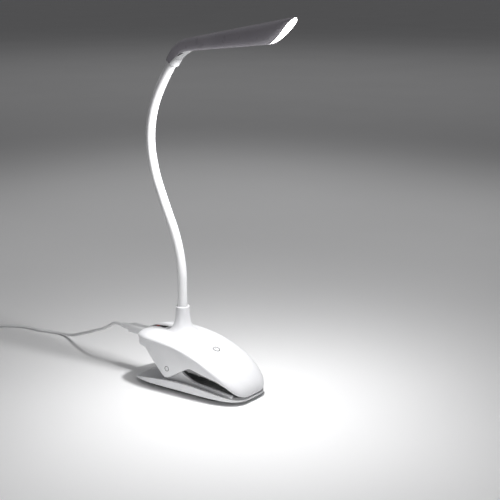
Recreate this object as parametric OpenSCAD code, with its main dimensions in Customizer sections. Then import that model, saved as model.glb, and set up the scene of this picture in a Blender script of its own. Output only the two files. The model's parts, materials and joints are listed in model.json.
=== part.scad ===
// Clip on reading lamp with a sprung clip, a bendable gooseneck and a USB charging cord.
// Millimetres, +Z up. +X is the front of the clip, Y = 0 is the plane of symmetry of the lamp.
// The origin is on the underside of the rubber foot, straight below the neck socket.

/* [Clip] */
// Length of the upper shell, front to rear
shell_l = 125; // [110:1:140]
// Width of the upper shell
shell_w = 61; // [54:1:68]
// Wall thickness of the upper shell
shell_t = 2; // [1.6:0.1:2.6]
// Length of the lower jaw
jaw_l = 128; // [114:1:142]
// Width of the lower jaw
jaw_w = 62.5; // [56:0.5:70]
// Wall thickness of the lower jaw
jaw_t = 2.2; // [1.8:0.1:3]

/* [Hinge] */
// Diameter of the steel hinge pin
pin_d = 4; // [3:0.5:5]
// Distance of the pin in front of the neck axis
pin_x = 4.5; // [2:0.5:8]
// Height of the pin above the table
pin_z = 22.4; // [20:0.1:24]
// Running clearance of the pin in the jaw lugs, on the radius
pin_play = 0.06; // [0.02:0.01:0.1]
// Wire diameter of the closing spring
spring_d = 1.5; // [1:0.1:2]

/* [Pads] */
// Distance between the ribs of the rubber pads
rib_pitch = 12.2; // [8:0.2:16]
// Height of the ribs
rib_h = 0.8; // [0.4:0.1:1.2]
// Thickness of the rubber foot
foot_h = 1.2; // [0.8:0.1:2]

/* [Neck] */
// Diameter of the covered gooseneck
neck_d = 9; // [7:0.5:12]
// Diameter of the steel core
core_d = 5.9; // [4:0.1:7]
// Outer diameter of the neck socket at its top
collar_d = 13; // [11:0.5:16]
// Height of the top of the neck socket
collar_z = 75.2; // [70:0.1:82]
// Gap in each ball seat of the core, on the radius
seat_gap = 0.35; // [0.2:0.05:0.5]

/* [Head] */
// Diameter of the head where it meets the neck
head_d = 12; // [11:0.5:14]
// Width of the head at the end of its elbow
elbow_w = 14; // [12:0.5:17]
// Width of the head where the slanted tip starts
tip_w = 19; // [16:0.5:22]
// Distance from the neck's end to where the underside starts to curve up
chin_x = 96; // [88:1:104]
// Straight stretch under the elbow, before it turns
elbow_lead = 6.5; // [4:0.5:10]
// Radius of the turn on the elbow's inner side
elbow_in = 22; // [16:1:30]
// Radius of the turn on the elbow's outer side
elbow_out = 34.5; // [30:0.5:40]
// Rise of the underside, in degrees
under_rise = 5.5; // [3:0.5:9]
// Rise of the top, in degrees
top_rise = 10.5; // [8:0.5:14]
// Radius of the curve under the chin
chin_bend = 60; // [40:1:80]
// Radius of the slanted tip seen from the side
tip_bend = 81.5; // [76:0.5:90]
// Wall thickness of the lamp head
head_t = 1.3; // [1:0.1:2]
// Thickness of the diffuser
diffuser_t = 1.3; // [1:0.1:2]
// Number of light emitting diodes
led_count = 12; // [6:1:18]

/* [Charging cord] */
// Diameter of the cord
cord_d = 3; // [2.5:0.1:4]
// Width of the moulded plug body
plug_w = 11; // [9:0.5:13]
// Height of the moulded plug body
plug_h = 7.6; // [6:0.2:9]
// Height of the charging socket
port_z = 42; // [40:0.1:43]

/* [Choose a part] */
// Sub-part to show

/* [Hidden] */
$fn = 64;
sides = [-1, 1];
shell_x = 20.6;
shell_a = shell_l / 2;
shell_b = shell_w / 2;
shell_n = 3.9;
jaw_x = 18.9;
jaw_a = jaw_l / 2;
jaw_b = jaw_w / 2;
jaw_n = 3.7;
neck_r = neck_d / 2;
core_r = core_d / 2;
ball_r = neck_r - 0.1;
seat_r = ball_r + seat_gap;
pin_r = pin_d / 2;
cheek_in = 26.3;
lug_out = 23.2;
lug_in = 20.6;
pad_half = 20;
foot_top = foot_h + 0.8;
foot_at = [-28, -24];
foot_size = [90, 48];
chin_rise = 20;
tip_rise = [34, 55];
tip_from = 2.35;
rear_screw = [-28, 18];
front_screw = [44, 23];
cheek_step = 0.8;
pin_end = 29.4;
// Neck segments from the socket up: length and turn of each, in mm and degrees
neck_l = [22, 30, 30, 34, 30, 30, 30, 33];
neck_a = [0, 13, 12, -3, -13, -19, -18, -9];
// Route of the charging cord from the strain relief to the coil
cord_route = [
    [-78.3, 0, 42], [-84, 0, 42.4], [-90, 0.3, 41], [-98.5, 1.2, 35.8], [-108, 3, 31.2], [-120, 6, 26.6],
    [-135, 11, 20.5], [-150, 15.5, 14.8], [-164, 21, 9.4], [-178, 27, 5], [-190, 31, 2.6], [-201, 32, 1.7],
    [-213, 30, 1.6], [-226, 27, 1.6], [-238, 26.5, 1.6], [-250, 24, 1.6], [-262, 18, 1.6], [-274, 10, 1.6],
    [-282.5, 4.1, 1.6], [-291, -1.8, 1.6]
];
coil_at = [-284.3, -21.5];
coil_r = 17;
coil_h = 5.9;

function sup(t, n) = sign(t) * pow(abs(t), 2 / n);
function span(n) = [for (i = [0 : n]) -0.9995 * cos(180 * i / n)];
function wide(s, b, n) = b * pow(1 - pow(abs(s), n), 1 / n);
function seam_z(s) = 41.3 - 14.5 * s - 16 * s * s - 4.3 * s * s * s;
function crown(s) = (5.2 + 0.6 * s * s + 3.2 * pow(max(s, 0), 3)) * pow(1 - pow(abs(s), 10), 0.35);
function shell_s(x) = (x - shell_x) / shell_a;
function top_z(x) = seam_z(shell_s(x)) + crown(shell_s(x));
function rim_z(s) = 12.1 + 0.7 * s - 8.1 * s * s;
function keel_z(s) = foot_h + 0.2 + 1.2 * s * s;
function heading(i) = i == 0 ? 90 : heading(i - 1) + neck_a[i - 1];
function neck_step(i) = let (h = heading(i), a = neck_a[i], l = neck_l[i])
    a == 0 ? l * [cos(h), sin(h)]
    : l * 180 / (PI * a) * [sin(h + a) - sin(h), cos(h) - cos(h + a)];
function neck_p(i) = i == 0 ? [0, collar_z] : neck_p(i - 1) + neck_step(i - 1);
function cross_ring(p, u, v, r, k) =
    [for (j = [0 : k - 1]) p + r * cos(360 * j / k) * u + r * sin(360 * j / k) * v];
function unit(v) = v / norm(v);
function tangent(p, i) = unit(p[min(i + 1, len(p) - 1)] - p[max(i - 1, 0)]);
function smooth(a, b, x) = let (t = min(max((x - a) / (b - a), 0), 1)) t * t * (3 - 2 * t);
function mix(a, b, t) = a + (b - a) * t;

// Arc of radius r at corner b of the path a, b, c
function fillet(a, b, c, r) = let (u = unit(a - b), v = unit(c - b), half = acos(u * v) / 2,
    m = b + unit(u + v) * r / sin(half), p = b + u * r / tan(half) - m, q = b + v * r / tan(half) - m)
    [for (k = [0 : 5]) m + r * unit(mix(p, q, k / 5))];
function flat2(p) = [p[0], p[1]];
// Outline through corners given as [x, z, radius]; the two ends have no radius
function rounded(c) = [for (i = [0 : len(c) - 1]) each c[i][2] == 0 ? [flat2(c[i])]
    : fillet(flat2(c[i - 1]), flat2(c[i]), flat2(c[i + 1]), c[i][2])];

// Closed solid through a list of rings with the same number of points
module loft(rings) {
    k = len(rings[0]);
    n = len(rings);
    quads = [for (i = [0 : n - 2], j = [0 : k - 1]) each [
        [i * k + j, i * k + (j + 1) % k, (i + 1) * k + j],
        [(i + 1) * k + j, i * k + (j + 1) % k, (i + 1) * k + (j + 1) % k]]];
    ends = [[for (j = [k - 1 : -1 : 0]) j], [for (j = [0 : k - 1]) (n - 1) * k + j]];
    polyhedron(points = [for (r = rings) each r], faces = concat(quads, ends));
}

// Round wire along a list of points lying across the direction given by side
module wire(points, r, k, side) {
    loft([for (i = [0 : len(points) - 1])
        let (t = tangent(points, i), u = unit(side - (side * t) * t), v = cross(t, u))
        cross_ring(points[i], u, v, r, k)]);
}

// Side-view outline drawn in X and Z, given thickness across Y
module slab(y0, y1) {
    translate([0, y1, 0])
        rotate([90, 0, 0])
            linear_extrude(height = y1 - y0)
                children();
}

// Upright rounded block, low corner at the given point
module block(p, s, r) {
    translate(p)
        linear_extrude(height = s[2])
            polygon([for (q = [[s[0] - r, s[1] - r, 0], [r, s[1] - r, 90], [r, r, 180], [s[0] - r, r, 270]],
                a = [0 : 15 : 90]) [q[0] + r * cos(q[2] + a), q[1] + r * sin(q[2] + a)]]);
}

module rod(p, r, y0, y1) {
    translate([p[0], y1, p[1]])
        rotate([90, 0, 0])
            cylinder(r = r, h = y1 - y0);
}

// ---- Upper jaw ----

// Cap of the shell: the domed top over the sloping seam, shrunk by d, reaching e below the seam
module cap(d, e) {
    loft([for (s = span(34))
        let (w = wide(s, shell_b, shell_n) * (1 - d / shell_b), z0 = seam_z(s) - e,
            z1 = seam_z(s) + max(crown(s) - d, 0.4))
        [for (j = [0 : 22]) let (a = 180 * j / 22)
            [shell_x + (shell_a - d) * s, -w * sup(cos(a), 2.6), z0 + (z1 - z0) * sup(sin(a), 2.6)]]]);
}

module flare() {
    rotate_extrude()
        polygon(concat(
            [[0, 46.2]],
            [for (i = [0 : 14]) let (z = 46.2 + 25.8 * i / 14)
                [collar_d / 2 + 9.5 * (exp((49.5 - z) / 6) - exp(-22.5 / 6)), z]],
            [[collar_d / 2, collar_z - 0.4], [collar_d / 2 - 0.4, collar_z], [0, collar_z]]));
}

module symbol_frame() {
    translate([41, 0, top_z(41)])
        rotate([0, atan2(top_z(39) - top_z(43), 4), 0])
            children();
}

// Power sign: a broken ring and a short stroke, as a prism from z0 to z1
module power_sign(z0, z1) {
    translate([0, 0, z0])
        linear_extrude(height = z1 - z0) {
            difference() {
                circle(r = 3.5);
                circle(r = 2.9);
                translate([-4, -1.3])
                    square([4, 2.6]);
            }
            translate([-4, -0.3])
                square([3.2, 0.6]);
        }
}

// Puts children on the two axes of a pair of screws, at height z
module at_screws(p, z) {
    for (s = sides)
        translate([p[0], s * p[1], z])
            children();
}

// Screw of the given length, head down
module screw(l) {
    cylinder(r = 2.3, h = 1.6);
    cylinder(r = 1.2, h = l);
}

module upper_shell() {
    color("white")
        difference() {
            union() {
                difference() {
                    cap(0, 0);
                    cap(shell_t, 4);
                }
                flare();
                at_screws(rear_screw, 39.5)
                    cylinder(r = 2.6, h = 6.4);
                at_screws(front_screw, 29.6)
                    cylinder(r = 2.6, h = 5.4);
            }
            translate([0, 0, 40])
                cylinder(r = neck_r + 0.05, h = 40);
            translate([0, 0, collar_z - 5])
                cylinder(r = neck_r + 0.7, h = 10);
            block([-40.2, -3.7, 40], [20.4, 7.4, 14], 1.5);
            symbol_frame()
                power_sign(-0.5, 2);
            at_screws(rear_screw, 20)
                cylinder(r = 1.25, h = 24.5);
            at_screws(front_screw, 20)
                cylinder(r = 1.25, h = 14);
        }
}

module indicator_window() {
    color("#3a3a40")
        intersection() {
            difference() {
                cap(0.1, 0);
                cap(shell_t, 1);
            }
            block([-40, -3.5, 44.6], [20, 7, 8], 1.4);
        }
}

module power_symbol() {
    color("gray")
        symbol_frame()
            power_sign(-0.48, -0.02);
}

module touch_plate() {
    color("silver")
        symbol_frame()
            translate([0, 0, -3.6])
                cylinder(r = 6, h = 0.8);
}

// Side outline of the cheeks with the hinge ears, and the ceiling of the jaw between them
ear = rounded([[-44, 37.2, 0], [-23.7, 37.2, 5], [1.8, 12.1, 7], [30.5, 27.8, 7], [62, 20.8, 20],
    [74, 14.2, 0]]);
palate = rounded([[-38.4, 37, 0], [-24, 36.2, 8], [-2, 30.6, 10], [24, 29.4, 12], [58, 21.4, 20],
    [73.4, 13.4, 0]]);

// Plan outline of the shell, moved in by d
module shell_plan(d) {
    polygon([for (a = [0 : 5 : 355])
        [shell_x + (shell_a - d) * sup(cos(a), shell_n), (shell_b - d) * sup(sin(a), shell_n)]]);
}

module clip_base() {
    color("#dcdce0")
        difference() {
            intersection() {
                linear_extrude(height = 60)
                    shell_plan(cheek_step);
                slab(-40, 40)
                    polygon(concat(ear, [for (x = [74 : -4 : -42]) [x, seam_z(shell_s(x)) - 0.3]],
                        [[-44, 38.6]]));
            }
            slab(-cheek_in, cheek_in)
                polygon(concat([[-38.4, 0]], palate, [[82, 13.4], [82, 0]]));
            slab(-cheek_in, cheek_in)
                polygon(concat([[-38.4, 60]], [for (p = palate) if (p[0] < 71) p + [0, 1.8]], [[70, 60]]));
            rod([pin_x, pin_z], pin_r + 0.01, -40, 40);
            rod([pin_x, pin_z], pin_r + 0.45, pin_end - 0.1, 40);
            rod([pin_x, pin_z], pin_r + 0.45, -40, 0.1 - pin_end);
            translate([-45, -3.9, port_z - 1.6])
                cube([10, 7.8, 3.4]);
            at_screws(rear_screw, 10)
                cylinder(r = 1.35, h = 40);
            at_screws(front_screw, 10)
                cylinder(r = 1.35, h = 40);
        }
}

module hinge_pin() {
    color("silver")
        rod([pin_x, pin_z], pin_r, -pin_end, pin_end);
}

module clip_screws() {
    color("#505050") {
        at_screws(rear_screw, 34.6)
            screw(9.4);
        at_screws(front_screw, 23)
            screw(10);
    }
}

// Face of a pad from x0 to x1, with thin ribs standing up from a line
function rib_face(x0, x1, line, up) = concat(
    [[x0, lookup(x0, line)]],
    [for (x = [10.3 : rib_pitch : 72]) if (x > x0 + 2 && x < x1 - 2)
        each [for (q = [[-1, 0], [-0.5, up], [0.5, up], [1, 0]]) [x + q[0], lookup(x + q[0], line) + q[1]]]],
    [[x1, lookup(x1, line)]]);
function reverse(p) = [for (i = [len(p) - 1 : -1 : 0]) p[i]];

module upper_pad() {
    color("#3c3d40")
        slab(-pad_half, pad_half)
            polygon(concat(
                [[14, lookup(14, palate) - 0.02]],
                [for (p = palate) if (p[0] > 14 && p[0] < 72) p - [0, 0.02]],
                [[72, lookup(72, palate) - 0.02]],
                reverse(rib_face(14, 72, [[14, 21], [30, 19.6], [50, 17.6], [72, 12.2]], -rib_h))));
}

module circuit_board() {
    color("green")
        block([-37.8, -15, 39.1], [27, 30, 1.4], 1);
}

module usb_socket() {
    color("silver")
        difference() {
            block([-40.9, -3.75, 40.55], [5.5, 7.5, 2.9], 0.4);
            translate([-42, -3.45, 40.85])
                cube([6, 6.9, 2.3]);
        }
}

module charge_led() {
    color("red")
        translate([-30.4, 0, 40.55])
            cylinder(r = 1.5, h = 3.4);
}

module battery_cell() {
    color("#8090b0")
        block([9, -17, 32.9], [27, 34, 5.2], 2);
}

module neck_nut() {
    color("silver")
        translate([0, 0, 42.4])
            difference() {
                cylinder(r = 7.5, h = 3.6);
                translate([0, 0, -1])
                    cylinder(r = core_r + 0.03, h = 6);
            }
}

// ---- Lower jaw ----

// Boat shape of the lower jaw, shrunk by d, from the floor function to e above the rim
module hull_shape(d, e, deep) {
    loft([for (s = span(34))
        let (w = wide(s, jaw_b, jaw_n) * (1 - d / jaw_b), x = jaw_x + (jaw_a - d) * s,
            z1 = rim_z(s) + e,
            zr = rim_z(s) + (deep ? 2 : 0),
            z0 = deep ? lookup(x, [[-46, 4.2], [-36, 3.4], [8, 3.4], [22, 6.6], [40, 8.2], [62, 6.6], [74, 5],
                [84, 3.8]]) : keel_z(s))
        concat([for (j = [0 : 18]) let (a = 180 * j / 18)
            [x, w * sup(cos(a), 5), z0 + (zr - z0) * (1 - sup(sin(a), 5))]],
            e > 0 ? [[x, -w, z1], [x, w, z1]] : [])]);
}

lug = rounded([[-7, 3, 0], [-1, 28.9, 5], [8.5, 28.9, 5], [19, 18.6, 6], [31, 12.9, 8], [59, 10.8, 20],
    [75, 9, 0], [75, 3, 0]]);
// Top of the bed under the lower pad
bed = [[1, 9.8], [24, 9.6], [46, 9.2], [66, 7.3], [75, 6.2]];

// Plate of the rubber foot, grown by d, from height z to its top
module foot_plate(d, z) {
    block([foot_at[0] - d, foot_at[1] - d, z], [foot_size[0] + 2 * d, foot_size[1] + 2 * d, foot_top - z], 12);
}

module lower_jaw() {
    color("white")
        difference() {
            union() {
                difference() {
                    hull_shape(0, 0, false);
                    hull_shape(jaw_t, 6, true);
                }
                for (s = sides) {
                    slab(s > 0 ? lug_in : -lug_out, s > 0 ? lug_out : -lug_in)
                        polygon(lug);
                    rod([pin_x, pin_z], 4.8, s > 0 ? lug_out : -26, s > 0 ? 26 : -lug_out);
                }
                slab(-lug_in, lug_in)
                    polygon(concat([[-1, 3]], bed, [[75, 3]]));
            }
            rod([pin_x, pin_z], pin_r + pin_play, -40, 40);
            foot_plate(0.15, -1);
        }
}

module lower_pad() {
    color("#3c3d40")
        slab(-pad_half, pad_half)
            polygon(concat([for (p = bed) p + [0, 0.02]],
                reverse(rib_face(1, 75, [[1, 11.2], [30, 11.1], [48, 10.6], [75, 7.9]], rib_h))));
}

// Plan outline of the lower jaw, moved in by d
module jaw_plan(d) {
    polygon([for (i = [0 : 71]) let (a = 5 * i)
        [jaw_x + (jaw_a - d) * sup(cos(a), jaw_n), (jaw_b - d) * sup(sin(a), jaw_n)]]);
}

module lip_strip() {
    rim = [for (x = [76 : 1.2 : 82]) [x, rim_z((x - jaw_x) / jaw_a)]];
    color("#3c3d40")
        intersection() {
            linear_extrude(height = 12)
                difference() {
                    jaw_plan(0.5);
                    jaw_plan(2);
                }
            slab(-40, 40)
                polygon(concat([for (p = rim) p + [0, 0.06]], reverse([for (p = rim) p + [0, 1.6]])));
        }
}

module foot_pad() {
    color("#46474a")
        foot_plate(0, 0);
}

module torsion_spring() {
    turns = 9;
    steps = turns * 14 + 5;
    a0 = -64;
    a1 = 74 + 360 * turns;
    color("silver")
        wire(concat(
            [[-20, -7.4, 5.2]],
            [for (i = [0 : steps]) let (a = a0 + (a1 - a0) * i / steps)
                [pin_x + 4.6 * cos(a), -7.4 + 14.8 * i / steps, pin_z + 4.6 * sin(a)]],
            [[-17, 7.4, 33.1]]), spring_d / 2, 8, [0, 1, 0]);
}

// ---- Gooseneck ----

// Puts children at the start of neck segment i, pointing along it
module at_neck(i) {
    translate([neck_p(i)[0], 0, neck_p(i)[1]])
        rotate([0, 90 - heading(i), 0])
            children();
}

// Straight or bent rod of the segment, from the origin upwards
module bend(l, a, r) {
    if (a == 0)
        cylinder(r = r, h = l);
    else {
        big = abs(l * 180 / (PI * a));
        mirror([a < 0 ? 1 : 0, 0, 0])
            translate([-big, 0, 0])
                rotate([90, 0, 0])
                    rotate_extrude(angle = abs(a), $fn = 720)
                        translate([big, 0])
                            circle(r = r, $fn = 48);
    }
}

// Half ball on the end of a core, with a short root that sinks into the rod
module ball_end(r) {
    rotate_extrude()
        polygon(concat([[0, -1], [core_r - 0.4, -1], [core_r - 0.4, 0]],
            [for (a = [0 : 6 : 90]) [r * cos(a), r * sin(a)]]));
}

module sleeve(i) {
    color("white")
        at_neck(i)
            difference() {
                bend(neck_l[i], neck_a[i], neck_r);
                bend(neck_l[i] * 1.001, neck_a[i] * 1.001, core_r + 0.04);
                sphere(r = seat_r);
            }
}

module core(i) {
    color("silver") {
        at_neck(i)
            difference() {
                bend(neck_l[i], neck_a[i], core_r);
                sphere(r = seat_r);
            }
        at_neck(i + 1)
            ball_end(ball_r);
    }
}

module base_sleeve() {
    color("white")
        difference() {
            translate([0, 0, 46.4])
                cylinder(r = neck_r, h = collar_z + neck_l[0] - 46.4);
            cylinder(r = core_r + 0.04, h = 120);
        }
}

module base_core() {
    color("silver") {
        translate([0, 0, 41.6])
            cylinder(r = core_r, h = collar_z + neck_l[0] - 41.6);
        at_neck(1)
            ball_end(ball_r);
    }
}

module neck_sleeve_1() sleeve(1);
module neck_sleeve_2() sleeve(2);
module neck_sleeve_3() sleeve(3);
module neck_sleeve_4() sleeve(4);
module neck_sleeve_5() sleeve(5);
module neck_sleeve_6() sleeve(6);
module neck_core_1() core(1);
module neck_core_2() core(2);
module neck_core_3() core(3);
module neck_core_4() core(4);
module neck_core_5() core(5);
module neck_core_6() core(6);

module head_sleeve() sleeve(7);

module head_core() {
    color("silver") {
        at_neck(7)
            difference() {
                bend(neck_l[7], neck_a[7], core_r);
                sphere(r = seat_r);
            }
        at_neck(8)
            translate([0, 0, -1])
                cylinder(r = core_r - 0.4, h = 8);
    }
}

// ---- Lamp head ----

// Way along an arc of radius r while the heading turns from a to b
function arc_way(r, a, b) = (b > a ? 1 : -1) * r * [sin(b) - sin(a), cos(a) - cos(b)];
function along(a) = [cos(a), sin(a)];
lead_share = 0.35;
turn_from = heading(8);
low_start = head_d / 2 * [sin(turn_from), -cos(turn_from)];
low_bend = low_start + elbow_lead * along(turn_from);
low_end = low_bend + arc_way(elbow_in, turn_from, under_rise);
chin = [chin_x, low_end[1] + (chin_x - low_end[0]) * tan(under_rise)];
kink = chin + arc_way(chin_bend, under_rise, chin_rise);
high_turn = turn_from + 11;
high_end = arc_way(elbow_out, high_turn, top_rise) - low_start;

// Edges of the head from the side: the elbow is t = 0 to 1, the straight wand 1 to 2,
// the chin 2 to tip_from and the slanted tip from there to 3
function low_edge(t) = t < lead_share ? mix(low_start, low_bend, t / lead_share)
    : t < 1 ? let (f = (t - lead_share) / (1 - lead_share))
        low_bend + arc_way(elbow_in, turn_from, mix(turn_from, under_rise, f))
    : t < 2 ? mix(low_end, chin, t - 1)
    : t < tip_from ? let (f = (t - 2) / (tip_from - 2))
        chin + arc_way(chin_bend, under_rise, mix(under_rise, chin_rise, f))
    : kink + arc_way(tip_bend, tip_rise[0], mix(tip_rise[0], tip_rise[1], tip_share(t)));
function tip_share(t) = (t - tip_from) / (3 - tip_from);
function high_edge(t) = t < 1 ? arc_way(elbow_out, high_turn, mix(high_turn, top_rise, t)) - low_start
    : let (x = t < 2 ? mix(high_end[0], chin_x, t - 1) : low_edge(t)[0])
    [x, high_end[1] + (x - high_end[0]) * tan(top_rise)];
function head_half(t) = t < 1 ? mix(head_d, elbow_w, t) / 2
    : t < 2 ? mix(elbow_w, tip_w, 1 - pow(2 - t, 1.8)) / 2
    : t < tip_from ? tip_w / 2
    : tip_w / 2 * max(pow(1 - pow(tip_share(t), 5), 1 / 2.2), 0.25);
// Half angle of the slot under the head that the elbow cover and the diffuser fill
function opening(t) = t < 1 ? mix(84, 34, t)
    : t < tip_from ? mix(34, 20, smooth(2, tip_from, t))
    : mix(20, 60, pow(tip_share(t), 1.5));

// Angle left free between the pieces under the head and the skin above them
function edge_gap(t) = 3.6 + 6 * max(tip_share(t), 0);

// Point of the head section at station t, angle a, moved inwards by d
function head_pt(t, a, d) = let (lo = low_edge(t), hi = high_edge(t), w = head_half(t), h = norm(hi - lo),
    m = (hi + lo) / 2, u = (hi - lo) / h, dd = min(d, 0.3 * h, 0.3 * w), z = (h / 2 - dd) * sup(sin(a), 2.5))
    [m[0] + u[0] * z, (w - dd) * sup(cos(a), 2.5), m[1] + u[1] * z];
// The same for the light window, whose underside is flattened between its two long edges
function window_pt(t, a, d) = let (lo = low_edge(t), hi = high_edge(t), h = norm(hi - lo), u = (hi - lo) / h,
    m = (hi + lo) / 2, p = head_pt(t, a, d), recess = 0.35,
    z = min(d, 0.3 * h) + recess - h / 2 * pow(cos(opening(t)), 0.8))
    mix(p, [m[0] + u[0] * z, p[1], m[1] + u[1] * z], smooth(0.7, 1, t));
function head_span(t0, t1, n) = [for (i = [0 : n]) t0 + (t1 - t0) * i / n];

// The head starts 1 mm before the end of the neck
module at_head() {
    translate([neck_p(8)[0] - cos(heading(8)), 0, neck_p(8)[1] - sin(heading(8))])
        children();
}

// Top skin of the head from station t0 to t1
module top_skin(t0, t1, n, k) {
    loft([for (t = head_span(t0, t1, n)) let (o = opening(t) + 0.6)
        concat([for (j = [0 : k]) head_pt(t, mix(o - 90, 270 - o, j / k), 0)],
            [for (j = [k : -1 : 0]) head_pt(t, mix(o - 90, 270 - o, j / k), head_t)])]);
}

// Strip under the head from station t0 to t1, of thickness d
module under_skin(t0, t1, n, k, d) {
    loft([for (t = head_span(t0, t1, n)) let (o = opening(t) - edge_gap(t))
        concat([for (j = [0 : k]) window_pt(t, -90 + o * (2 * j / k - 1), 0)],
            [for (j = [k : -1 : 0]) window_pt(t, -90 + o * (2 * j / k - 1), d)])]);
}

module head_shell() {
    color("white")
        at_head()
            top_skin(0, 3, 54, 20);
}

module elbow_cover() {
    color("white")
        at_head()
            under_skin(0, 0.98, 16, 12, head_t);
}

module diffuser() {
    color("#fffbe8")
        at_head()
            under_skin(1, 3, 36, 10, diffuser_t);
}

module along_head() {
    at_head()
        translate([33.6, 0, 15.3])
            rotate([0, -6, 0])
                children();
}

module led_board() {
    color("#f0f0f0")
        along_head()
            block([0, -4.4, 0], [70, 8.8, 1], 0.6);
}

module leds() {
    color("#ffe9a0")
        along_head()
            for (i = [0 : led_count - 1])
                translate([3 + 64 * i / (led_count - 1) - 1.4, -1.4, -0.9])
                    cube([2.8, 2.8, 0.85]);
}

module heat_bar() {
    color("silver")
        along_head()
            block([0, -3.6, 1.05], [70, 7.2, 1.6], 0.6);
}

module head_clamp() {
    color("#b08d45")
        at_neck(8)
            translate([0, 0, 0.4])
                difference() {
                    cylinder(r = 4.2, h = 3);
                    translate([0, 0, -1])
                        cylinder(r = core_r - 0.37, h = 6);
                }
}

// ---- Charging plug and cord ----

module plug_mould() {
    color("#e8e8ea")
        difference() {
            translate([-65, -plug_w / 2, port_z - plug_h / 2])
                rotate([90, 0, 90])
                    block([0, 0, 0], [plug_w, plug_h, 22.2], 1.6);
            translate([-44, -3.4, port_z - 0.85])
                cube([3, 6.8, 1.7]);
        }
}

module plug_metal() {
    color("silver")
        translate([-43.9, -3.35, port_z - 0.8])
            cube([6.4, 6.7, 1.6]);
}

module strain_relief() {
    color("#e8e8ea")
        translate([-65.05, 0, port_z])
            rotate([0, -90, 0])
                rotate_extrude()
                    polygon(concat([[0, 0]],
                        [for (i = [0 : 6], q = [[0, 0], [0, 1.1], [-0.6, 1.2], [-0.6, 1.8]])
                            [3.6 - 0.2 * i + q[0], 1.9 * i + q[1]]],
                        [[1.7, 13.2], [1.7, 12.95], [0, 12.95]]));
}

module usb_cord() {
    color("white")
        wire(cord_route, cord_d / 2, 8, [0, 0, 1]);
}

module cord_coil() {
    color("white")
        translate([coil_at[0], coil_at[1], 0.05])
            rotate_extrude()
                polygon([for (a = [0 : 15 : 345])
                    [coil_r + 4.6 * sup(cos(a), 3.4), coil_h / 2 + coil_h / 2 * sup(sin(a), 3.4)]]);
}

module far_plug_mould() {
    color("#e8e8ea")
        block([coil_at[0] - 23.75, coil_at[1] - 40, 0.1], [15.5, 22, 8], 2);
}

module far_plug_metal() {
    color("silver")
        block([coil_at[0] - 22, coil_at[1] - 52.05, 1.8], [12, 12, 4.5], 0.4);
}

upper_shell();
indicator_window();
power_symbol();
touch_plate();
clip_base();
hinge_pin();
clip_screws();
upper_pad();
circuit_board();
usb_socket();
charge_led();
battery_cell();
neck_nut();
lower_jaw();
lower_pad();
lip_strip();
foot_pad();
torsion_spring();
base_sleeve();
base_core();
neck_sleeve_1();
neck_core_1();
neck_sleeve_2();
neck_core_2();
neck_sleeve_3();
neck_core_3();
neck_sleeve_4();
neck_core_4();
neck_sleeve_5();
neck_core_5();
neck_sleeve_6();
neck_core_6();
head_sleeve();
head_core();
head_shell();
elbow_cover();
diffuser();
led_board();
leds();
heat_bar();
head_clamp();
plug_mould();
plug_metal();
strain_relief();
usb_cord();
cord_coil();
far_plug_mould();
far_plug_metal();
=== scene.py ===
"""Looks of the clip on reading lamp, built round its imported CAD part.

Shapes are worked out in millimetres in the part's own frame: +Z is up, +X is the front of the clip
and Y = 0 is the plane of symmetry. Model.add turns them into metres.
"""
import json
import math

import bmesh
import bpy
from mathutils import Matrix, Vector


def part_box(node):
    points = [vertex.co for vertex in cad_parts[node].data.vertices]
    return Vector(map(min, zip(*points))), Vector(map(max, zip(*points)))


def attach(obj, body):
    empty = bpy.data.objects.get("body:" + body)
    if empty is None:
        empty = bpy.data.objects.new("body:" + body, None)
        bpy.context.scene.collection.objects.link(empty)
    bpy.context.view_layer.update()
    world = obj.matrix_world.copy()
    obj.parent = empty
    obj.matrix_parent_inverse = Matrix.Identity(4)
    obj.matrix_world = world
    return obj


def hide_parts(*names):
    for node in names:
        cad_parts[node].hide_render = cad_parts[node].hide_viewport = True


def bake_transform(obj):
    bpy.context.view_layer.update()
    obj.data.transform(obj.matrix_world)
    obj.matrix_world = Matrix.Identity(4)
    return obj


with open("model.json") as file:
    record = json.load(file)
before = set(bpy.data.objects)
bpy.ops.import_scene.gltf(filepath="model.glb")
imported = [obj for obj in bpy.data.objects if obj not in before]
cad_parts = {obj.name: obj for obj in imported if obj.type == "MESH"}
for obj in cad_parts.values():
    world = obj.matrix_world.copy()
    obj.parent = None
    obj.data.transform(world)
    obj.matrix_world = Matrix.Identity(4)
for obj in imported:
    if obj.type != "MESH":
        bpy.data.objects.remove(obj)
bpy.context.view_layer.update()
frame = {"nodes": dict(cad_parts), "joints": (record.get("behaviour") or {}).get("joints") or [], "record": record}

MM = 0.001


# ---------------------------------------------------------------- places taken from the frame

def span_of(node):
    """Lowest and highest corner of a CAD node, in millimetres."""
    low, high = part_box(node)
    return low / MM, high / MM


SHELL_LOW, SHELL_HIGH = span_of("upper_shell")
JAW_LOW, JAW_HIGH = span_of("lower_jaw")
PIN_LOW, PIN_HIGH = span_of("hinge_pin")
PLUG_LOW, PLUG_HIGH = span_of("plug_mould")
RELIEF_LOW, RELIEF_HIGH = span_of("strain_relief")
COIL_LOW, COIL_HIGH = span_of("cord_coil")
FAR_LOW, FAR_HIGH = span_of("far_plug_mould")

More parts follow.
